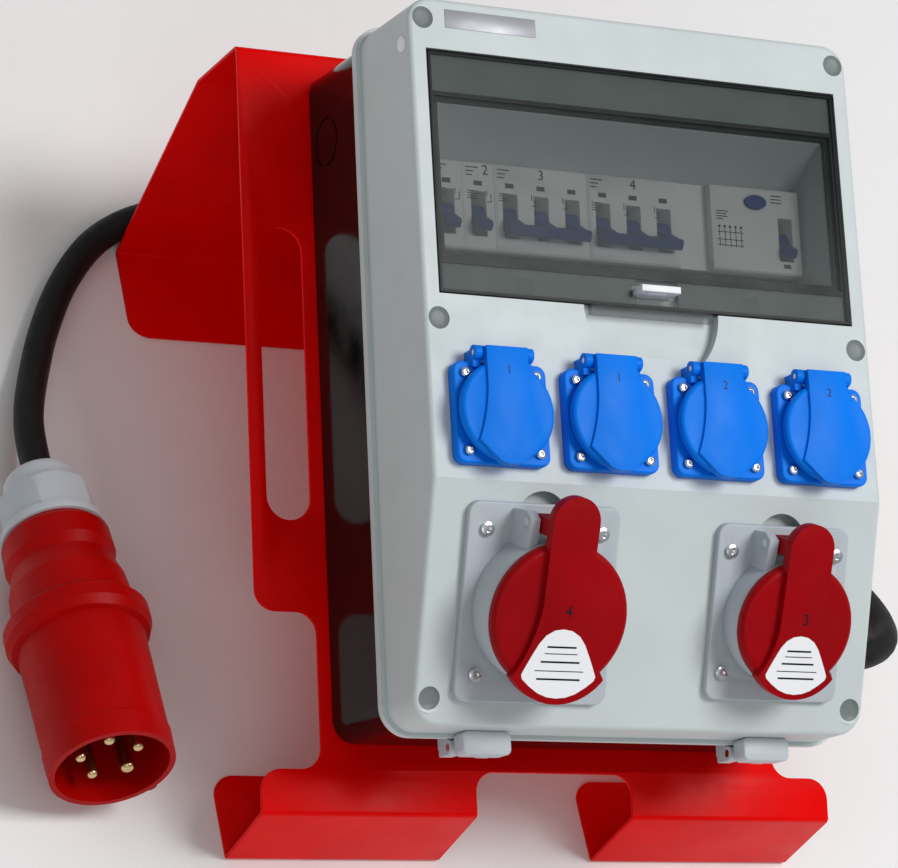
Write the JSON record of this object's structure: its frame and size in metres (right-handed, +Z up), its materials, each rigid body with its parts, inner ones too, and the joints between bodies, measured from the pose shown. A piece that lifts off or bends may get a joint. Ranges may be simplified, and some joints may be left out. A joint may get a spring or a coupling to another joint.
{
  "type": "portable power distribution box",
  "caption": "Portable power distribution box on a folded red stand, with hinged lids over blue and red sockets, a window over circuit breakers, and a supply cable with plug.",
  "frame": {"origin": "on the floor under the middle of the stand and box, without the cable and plug", "axes": "+X to the right of the person using it, +Y away from that person, +Z up"},
  "size_m": [0.5006, 0.4278, 0.2966],
  "materials": {
    "stand_red": "gloss red powder coat",
    "base_black": "gloss black",
    "lid_grey": "fine satin light grey",
    "cap_grey": "satin grey",
    "steel": "zinc-plated",
    "brass": "turned",
    "device_grey": "satin off-white",
    "toggle_blue": "satin dark blue",
    "test_blue": "satin dark blue",
    "socket_blue": "satin bright blue",
    "socket_grey": "satin mid grey",
    "signal_red": "satin dark red",
    "contact_black": "matt dark",
    "window_smoke": "smoked clear",
    "seal_black": "matt black",
    "cable_black": "matt black rubber"
  },
  "bodies": {
    "box_and_stand": {"stand_frame": "stand_red", "mounting_bolts": "steel", "enclosure_base": "base_black", "lid_seal": "seal_black", "din_rail": "steel", "breaker_1_body": "device_grey", "breaker_2_body": "device_grey", "breaker_3_body": "device_grey", "breaker_4_body": "device_grey", "blanking_module": "device_grey", "rcd_body": "device_grey", "terminal_carriers": "contact_black", "neutral_bar": "brass", "earth_bar": "brass", "inlet_gland": "base_black", "gland_dome_nut": "base_black", "gland_locknut": "base_black", "base_hinge_halves": "cap_grey", "hinge_pins": "steel", "supply_cable": "cable_black", "plug_clamp_nut": "cap_grey", "plug_body": "signal_red", "plug_contact_carrier": "contact_black", "plug_pins": "brass"},
    "lid": {"lid_shell": "lid_grey", "lid_screws": "steel", "screw_caps": "cap_grey", "window_seal": "seal_black", "padlock_eye": "device_grey", "lid_hinge_halves": "cap_grey", "blue_socket_screws": "steel", "blue_socket_pins": "steel", "earth_clips": "brass", "cee_32_flange": "socket_grey", "cee_32_collar": "socket_grey", "cee_32_contacts": "contact_black", "cee_16_flange": "socket_grey", "cee_16_collar": "socket_grey", "cee_16_contacts": "contact_black", "red_socket_screws": "steel", "red_socket_pins": "steel", "blue_socket_1_body": "socket_blue", "blue_socket_2_body": "socket_blue", "blue_socket_3_body": "socket_blue", "blue_socket_4_body": "socket_blue"},
    "window_door": {"window_door": "window_smoke", "door_catches": "window_smoke"},
    "red_lid_32": {"cee_32_lid": "signal_red"},
    "red_lid_16": {"cee_16_lid": "signal_red"},
    "rcd_toggle": {"rcd_toggle": "toggle_blue"},
    "test_button": {"test_button": "test_blue"},
    "blue_lid_1": {"blue_socket_1_lid": "socket_blue"},
    "breaker_toggle_1": {"breaker_1_toggle": "toggle_blue"},
    "blue_lid_2": {"blue_socket_2_lid": "socket_blue"},
    "breaker_toggle_2": {"breaker_2_toggle": "toggle_blue"},
    "blue_lid_3": {"blue_socket_3_lid": "socket_blue"},
    "breaker_toggle_3": {"breaker_3_toggle": "toggle_blue"},
    "blue_lid_4": {"blue_socket_4_lid": "socket_blue"},
    "breaker_toggle_4": {"breaker_4_toggle": "toggle_blue"}
  },
  "joints": [
    {"name": "lid_hinge", "type": "hinge", "parent": "box_and_stand", "child": "lid", "pos_m": [0, -0.18607, 0.11836], "axis": [1, 0, 0], "range_deg": [0, 100]},
    {"name": "window_hinge", "type": "hinge", "parent": "lid", "child": "window_door", "pos_m": [0, 0.10444, 0.28625], "axis": [-1, 0, 0], "range_deg": [0, 110]},
    {"name": "blue_lid_1_hinge", "type": "hinge", "parent": "lid", "child": "blue_lid_1", "pos_m": [-0.0897, -0.04268, 0.24756], "axis": [-1, 0, 0], "range_deg": [0, 110], "stiffness_Nm_per_rad": 0.03, "springref_deg": -34.38},
    {"name": "blue_lid_2_hinge", "type": "hinge", "parent": "lid", "child": "blue_lid_2", "pos_m": [-0.0299, -0.04268, 0.24756], "axis": [-1, 0, 0], "range_deg": [0, 110], "stiffness_Nm_per_rad": 0.03, "springref_deg": -34.38},
    {"name": "blue_lid_3_hinge", "type": "hinge", "parent": "lid", "child": "blue_lid_3", "pos_m": [0.0299, -0.04268, 0.24756], "axis": [-1, 0, 0], "range_deg": [0, 110], "stiffness_Nm_per_rad": 0.03, "springref_deg": -34.38},
    {"name": "blue_lid_4_hinge", "type": "hinge", "parent": "lid", "child": "blue_lid_4", "pos_m": [0.0897, -0.04268, 0.24756], "axis": [-1, 0, 0], "range_deg": [0, 110], "stiffness_Nm_per_rad": 0.03, "springref_deg": -34.38},
    {"name": "red_lid_32_hinge", "type": "hinge", "parent": "lid", "child": "red_lid_32", "pos_m": [-0.0656, -0.12156, 0.22357], "axis": [-1, 0, 0], "range_deg": [0, 100], "stiffness_Nm_per_rad": 0.12, "springref_deg": -34.38},
    {"name": "red_lid_16_hinge", "type": "hinge", "parent": "lid", "child": "red_lid_16", "pos_m": [0.0685, -0.12308, 0.21808], "axis": [-1, 0, 0], "range_deg": [0, 100], "stiffness_Nm_per_rad": 0.12, "springref_deg": -34.38},
    {"name": "breaker_1_switch", "type": "hinge", "parent": "box_and_stand", "child": "breaker_toggle_1", "pos_m": [0, 0.0484, 0.23424], "axis": [-1, 0, 0], "range_deg": [0, 64]},
    {"name": "breaker_2_switch", "type": "hinge", "parent": "box_and_stand", "child": "breaker_toggle_2", "pos_m": [0, 0.0484, 0.23424], "axis": [-1, 0, 0], "range_deg": [0, 64]},
    {"name": "breaker_3_switch", "type": "hinge", "parent": "box_and_stand", "child": "breaker_toggle_3", "pos_m": [0, 0.0484, 0.23424], "axis": [-1, 0, 0], "range_deg": [0, 64]},
    {"name": "breaker_4_switch", "type": "hinge", "parent": "box_and_stand", "child": "breaker_toggle_4", "pos_m": [0, 0.0484, 0.23424], "axis": [-1, 0, 0], "range_deg": [0, 64]},
    {"name": "rcd_switch", "type": "hinge", "parent": "box_and_stand", "child": "rcd_toggle", "pos_m": [0, 0.0484, 0.23424], "axis": [-1, 0, 0], "range_deg": [0, 64]},
    {"name": "test_press", "type": "slide", "parent": "box_and_stand", "child": "test_button", "axis": [0, 0.342, -0.9397], "range_m": [0, 0.0015], "stiffness_N_per_m": 400}
  ]
}
